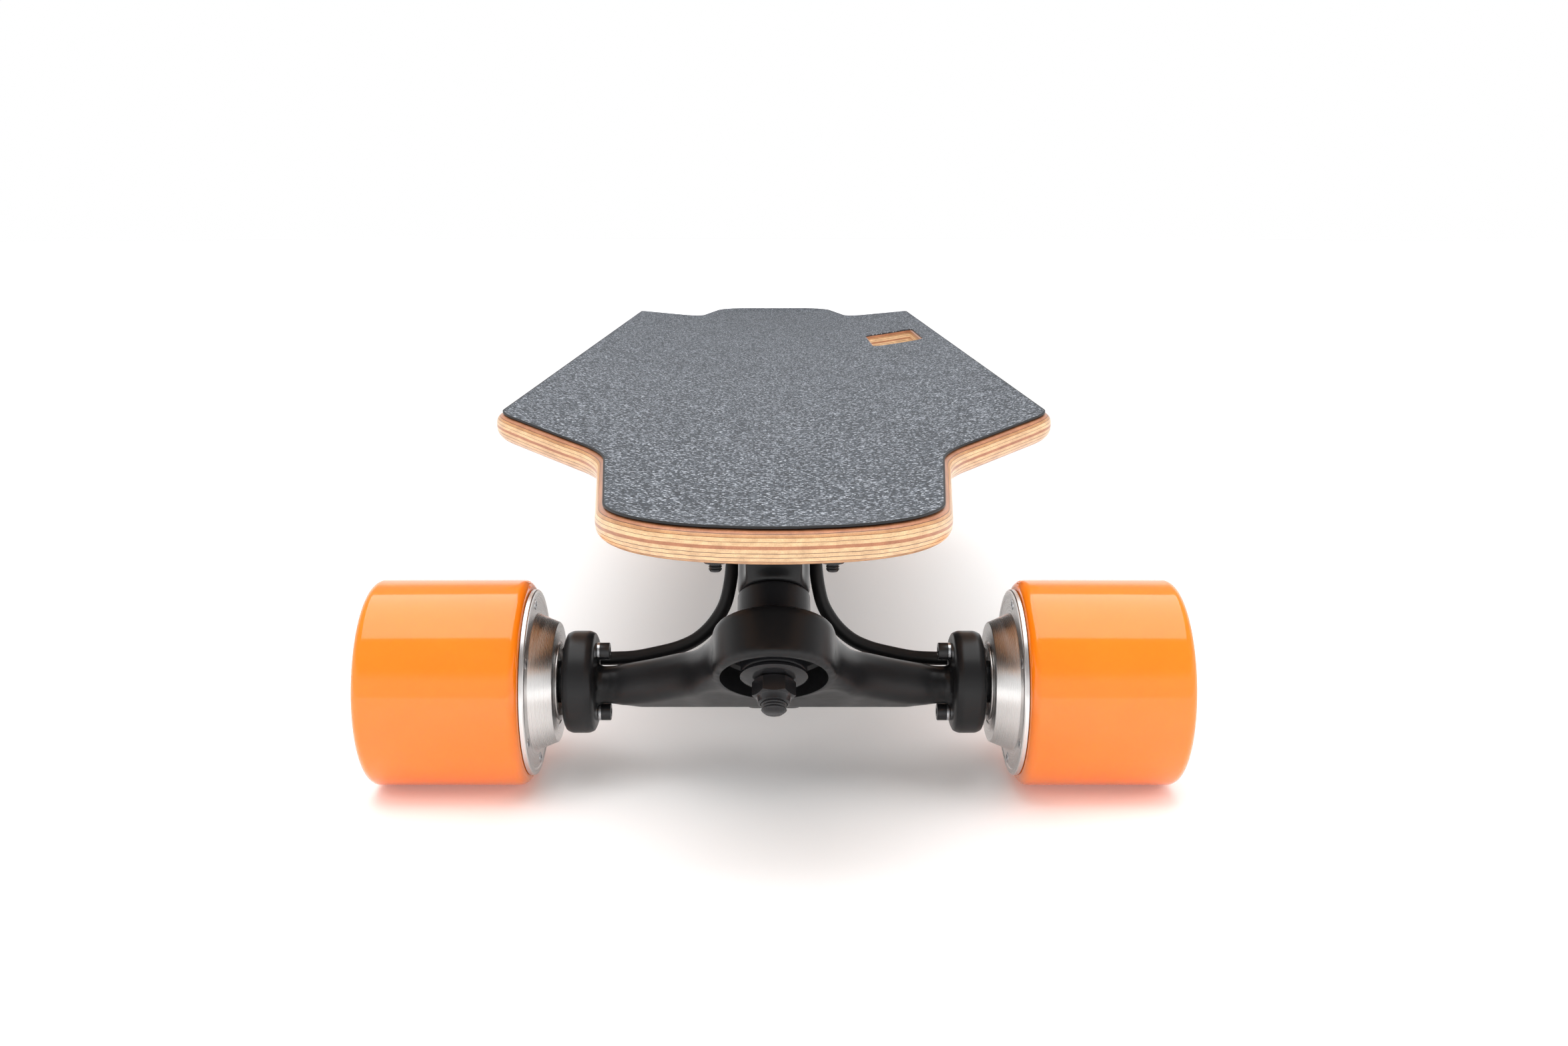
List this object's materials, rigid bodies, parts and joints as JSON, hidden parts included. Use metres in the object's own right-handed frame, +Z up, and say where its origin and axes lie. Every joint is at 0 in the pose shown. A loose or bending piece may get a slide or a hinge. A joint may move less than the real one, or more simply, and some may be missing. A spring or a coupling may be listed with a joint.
{
  "type": "electric skateboard",
  "caption": "Electric skateboard with a cut-out plywood deck, grip surface, handle slot, reverse-kingpin trucks, hub-motor rear wheels, free front wheels and an underslung electronics case.",
  "frame": {"origin": "on the ground, under the middle of the deck's bounding box", "axes": "+Y from the motor end to the front end, +X to the rider's right, +Z up"},
  "size_m": [0.3232, 1.12, 0.1434],
  "materials": {
    "battery_wrap": "shrink wrap",
    "bearing_steel": "ground",
    "black_rubber": "matte",
    "black_steel": "black oxide",
    "bushing_urethane": "cast urethane, black",
    "cable_rubber": "satin cable jacket",
    "case_plastic": "moulded, satin",
    "controller_aluminium": "anodised",
    "grip_tape": "coarse grit sheet",
    "motor_winding": "lamination stack with copper",
    "plywood": "clear coated maple plies",
    "satin_black": "satin black powder coat",
    "turned_aluminium": "turned and polished",
    "urethane": "gloss cast urethane",
    "wheel_core": "moulded",
    "zinc_steel": "zinc plated"
  },
  "bodies": {
    "deck": {"battery_pack": "battery_wrap", "case_gasket": "black_rubber", "charge_port": "turned_aluminium", "deck": "plywood", "electronics_case": "case_plastic", "front_baseplate": "satin_black", "front_boardside_bushing": "bushing_urethane", "front_cup_washer": "black_steel", "front_kingpin": "black_steel", "front_kingpin_nut": "black_steel", "front_pivot_cup": "black_rubber", "front_riser_pad": "black_rubber", "front_roadside_bushing": "bushing_urethane", "front_truck_bolt_left_inner": "black_steel", "front_truck_bolt_left_outer": "black_steel", "front_truck_bolt_right_inner": "black_steel", "front_truck_bolt_right_outer": "black_steel", "grip_tape": "grip_tape", "motor_controller": "controller_aluminium", "phase_lead_left": "cable_rubber", "phase_lead_right": "cable_rubber", "rear_baseplate": "satin_black", "rear_boardside_bushing": "bushing_urethane", "rear_cup_washer": "black_steel", "rear_kingpin": "black_steel", "rear_kingpin_nut": "black_steel", "rear_pivot_cup": "black_rubber", "rear_riser_pad": "black_rubber", "rear_roadside_bushing": "bushing_urethane", "rear_truck_bolt_left_inner": "black_steel", "rear_truck_bolt_left_outer": "black_steel", "rear_truck_bolt_right_inner": "black_steel", "rear_truck_bolt_right_outer": "black_steel"},
    "charge_port_cap": {"charge_port_cap": "black_rubber"},
    "rear_hanger": {"flange_screw_left_lower": "black_steel", "flange_screw_left_upper": "black_steel", "flange_screw_right_lower": "black_steel", "flange_screw_right_upper": "black_steel", "motor_stator_left": "motor_winding", "motor_stator_right": "motor_winding", "rear_hanger": "satin_black"},
    "front_hanger": {"front_axle": "zinc_steel", "front_axle_nut_left": "zinc_steel", "front_axle_nut_right": "zinc_steel", "front_hanger": "satin_black"},
    "front_wheel_left": {"front_bearings_left": "bearing_steel", "front_tyre_left": "urethane", "front_wheel_core_left": "wheel_core"},
    "front_wheel_right": {"front_bearings_right": "bearing_steel", "front_tyre_right": "urethane", "front_wheel_core_right": "wheel_core"},
    "motor_wheel_left": {"motor_bearing_left": "bearing_steel", "motor_shell_left": "turned_aluminium", "motor_side_plate_left": "turned_aluminium", "motor_tyre_left": "urethane"},
    "motor_wheel_right": {"motor_bearing_right": "bearing_steel", "motor_shell_right": "turned_aluminium", "motor_side_plate_right": "turned_aluminium", "motor_tyre_right": "urethane"},
    "power_button": {"power_button": "turned_aluminium"}
  },
  "joints": [
    {"name": "rear_steer", "type": "hinge", "parent": "deck", "child": "rear_hanger", "pos_m": [0, -0.401, 0.0314], "axis": [0, -0.8192, 0.5735], "range_deg": [-15, 15], "stiffness_Nm_per_rad": 45, "deforming": ["rear_boardside_bushing", "rear_roadside_bushing", "phase_lead_left", "phase_lead_right"]},
    {"name": "front_steer", "type": "hinge", "parent": "deck", "child": "front_hanger", "pos_m": [0, 0.401, 0.0314], "axis": [0, 0.8192, 0.5735], "range_deg": [-15, 15], "stiffness_Nm_per_rad": 45, "deforming": ["front_boardside_bushing", "front_roadside_bushing"]},
    {"name": "motor_wheel_left_spin", "type": "hinge", "parent": "rear_hanger", "child": "motor_wheel_left", "pos_m": [-0.13, -0.425, 0.0415], "axis": [1, 0, 0], "continuous": true},
    {"name": "front_wheel_left_spin", "type": "hinge", "parent": "front_hanger", "child": "front_wheel_left", "pos_m": [-0.126, 0.425, 0.0415], "axis": [1, 0, 0], "continuous": true},
    {"name": "motor_wheel_right_spin", "type": "hinge", "parent": "rear_hanger", "child": "motor_wheel_right", "pos_m": [0.13, -0.425, 0.0415], "axis": [1, 0, 0], "continuous": true},
    {"name": "front_wheel_right_spin", "type": "hinge", "parent": "front_hanger", "child": "front_wheel_right", "pos_m": [0.126, 0.425, 0.0415], "axis": [1, 0, 0], "continuous": true},
    {"name": "power_button_press", "type": "slide", "parent": "deck", "child": "power_button", "axis": [-1, 0, 0], "range_m": [0, 0.0012], "stiffness_N_per_m": 900},
    {"name": "charge_port_cap_open", "type": "hinge", "parent": "deck", "child": "charge_port_cap", "pos_m": [0.07917, -0.2854, 0.104], "axis": [0, 0, -1], "range_deg": [0, 120]}
  ]
}
